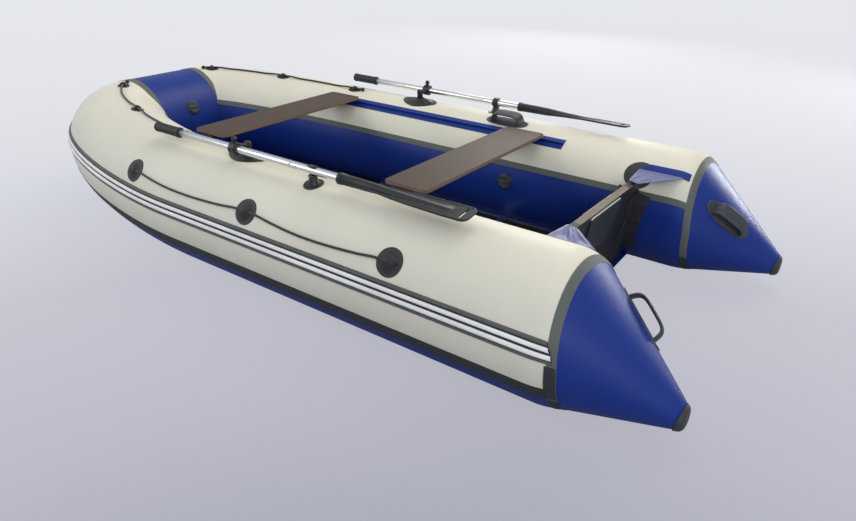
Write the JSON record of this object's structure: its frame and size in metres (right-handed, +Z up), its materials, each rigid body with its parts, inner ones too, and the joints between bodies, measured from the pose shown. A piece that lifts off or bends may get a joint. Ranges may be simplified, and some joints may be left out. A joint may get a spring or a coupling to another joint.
{
  "type": "inflatable rowing boat",
  "caption": "Inflatable boat with a plywood transom and floor, sliding bench seats on rails, stowed oars in oarlocks, a ribbed rubbing strake and grab ropes.",
  "frame": {"origin": "bottom centre of the whole boat's box, on the ground under the tubes", "axes": "+X forward to the bow, +Y to port, +Z up"},
  "size_m": [3.0062, 1.4864, 0.5238],
  "materials": {
    "cream_fabric": "smooth coated cream fabric, satin",
    "blue_fabric": "smooth coated royal blue fabric, satin",
    "grey_rubber": "moulded dark grey rubber, matte",
    "black_plastic": "moulded black plastic, fine grain",
    "seat_plywood": "brown coated plywood, satin",
    "black_plywood": "black coated plywood, matte",
    "aluminium": "drawn aluminium, lightly brushed",
    "pad_plastic": "light grey moulded plastic",
    "black_rope": "black braided rope",
    "steel": "polished stainless steel"
  },
  "bodies": {
    "hull": {"bow_tube": "blue_fabric", "port_side_tube": "cream_fabric", "starboard_side_tube": "cream_fabric", "port_cone": "blue_fabric", "starboard_cone": "blue_fabric", "port_cone_cap": "grey_rubber", "starboard_cone_cap": "grey_rubber", "port_stringer": "aluminium", "starboard_stringer": "aluminium", "port_transom_holder": "black_plastic", "starboard_transom_holder": "black_plastic", "port_gusset": "blue_fabric", "starboard_gusset": "blue_fabric", "port_seat_rail": "blue_fabric", "starboard_seat_rail": "blue_fabric", "port_crown_rope": "black_rope", "starboard_crown_rope": "black_rope", "port_oarlock_base": "black_plastic", "starboard_oarlock_base": "black_plastic", "port_oar_clip": "black_plastic", "starboard_oar_clip": "black_plastic", "port_cone_handle": "black_plastic", "starboard_cone_handle": "black_plastic", "rubbing_strake": "grey_rubber", "port_lifeline": "black_rope", "starboard_lift_handle": "black_plastic", "keel_tube": "grey_rubber", "bottom_skin": "blue_fabric", "floor_panel_fore": "black_plywood", "floor_panel_mid": "black_plywood", "floor_panel_aft": "black_plywood", "floor_joiner_fore": "aluminium", "floor_joiner_aft": "aluminium", "transom_board": "black_plywood", "motor_pad_inner": "pad_plastic", "motor_pad_outer": "pad_plastic", "drain_flange": "black_plastic"},
    "fore_seat": {"fore_seat": "seat_plywood", "port_fore_seat_shoe": "black_plastic", "starboard_fore_seat_shoe": "black_plastic"},
    "aft_seat": {"aft_seat": "seat_plywood", "port_aft_seat_shoe": "black_plastic", "starboard_aft_seat_shoe": "black_plastic"},
    "drain_plug": {"drain_plug": "black_plastic"},
    "bow_valve_cap": {"bow_valve_cap": "black_plastic"},
    "bow_tow_ring": {"bow_tow_ring": "steel"},
    "port_oar": {"port_oarlock": "black_plastic", "port_oar_shaft": "aluminium", "port_oar_grip": "black_plastic", "port_oar_blade": "black_plastic"},
    "port_oarlock_knob": {"port_oarlock_knob": "black_plastic"},
    "port_oar_button": {"port_oar_button": "steel"},
    "port_valve_cap": {"port_valve_cap": "black_plastic"},
    "starboard_oar": {"starboard_oarlock": "black_plastic", "starboard_oar_shaft": "aluminium", "starboard_oar_grip": "black_plastic", "starboard_oar_blade": "black_plastic"},
    "starboard_oarlock_knob": {"starboard_oarlock_knob": "black_plastic"},
    "starboard_oar_button": {"starboard_oar_button": "steel"},
    "starboard_valve_cap": {"starboard_valve_cap": "black_plastic"}
  },
  "joints": [
    {"name": "fore_seat_slide", "type": "slide", "parent": "hull", "child": "fore_seat", "axis": [1, 0, 0], "range_m": [-0.38, 0]},
    {"name": "aft_seat_slide", "type": "slide", "parent": "hull", "child": "aft_seat", "axis": [1, 0, 0], "range_m": [-0.12, 0.38]},
    {"name": "drain_plug_turn", "type": "hinge", "parent": "hull", "child": "drain_plug", "pos_m": [-0.98281, 0.2, 0.09794], "axis": [-0.9863, 0, -0.165], "range_deg": [0, 90]},
    {"name": "bow_valve_cap_turn", "type": "hinge", "parent": "hull", "child": "bow_valve_cap", "pos_m": [1.07252, 0, 0.35148], "axis": [-0.9135, 0, 0.4067], "range_deg": [0, 90]},
    {"name": "bow_tow_ring_swing", "type": "hinge", "parent": "hull", "child": "bow_tow_ring", "pos_m": [1.47869, 0, 0.16192], "axis": [0, -1, 0], "range_deg": [-20, 90]},
    {"name": "port_oar_swing", "type": "hinge", "parent": "hull", "child": "port_oar", "pos_m": [0.0885, 0.5, 0.48], "axis": [0, 0, 1], "range_deg": [-110, 0]},
    {"name": "port_oarlock_knob_turn", "type": "hinge", "parent": "port_oar", "child": "port_oarlock_knob", "pos_m": [0.0885, 0.555, 0.502], "axis": [0, 0, 1], "range_deg": [-180, 180]},
    {"name": "port_oar_button_press", "type": "slide", "parent": "port_oar", "child": "port_oar_button", "axis": [0, 0.766, 0.6428], "range_m": [-0.003, 0], "stiffness_N_per_m": 400, "springref_m": 0.001},
    {"name": "port_valve_cap_turn", "type": "hinge", "parent": "hull", "child": "port_valve_cap", "pos_m": [-0.4895, 0.29564, 0.24681], "axis": [0, -0.9925, 0.1219], "range_deg": [0, 90]},
    {"name": "starboard_oar_swing", "type": "hinge", "parent": "hull", "child": "starboard_oar", "pos_m": [0.0885, -0.5, 0.48], "axis": [0, 0, 1], "range_deg": [0, 110]},
    {"name": "starboard_oarlock_knob_turn", "type": "hinge", "parent": "starboard_oar", "child": "starboard_oarlock_knob", "pos_m": [0.0885, -0.555, 0.502], "axis": [0, 0, 1], "range_deg": [-180, 180]},
    {"name": "starboard_oar_button_press", "type": "slide", "parent": "starboard_oar", "child": "starboard_oar_button", "axis": [0, -0.766, 0.6428], "range_m": [-0.003, 0], "stiffness_N_per_m": 400, "springref_m": 0.001},
    {"name": "starboard_valve_cap_turn", "type": "hinge", "parent": "hull", "child": "starboard_valve_cap", "pos_m": [-0.4895, -0.29564, 0.24681], "axis": [0, 0.9925, 0.1219], "range_deg": [0, 90]}
  ]
}
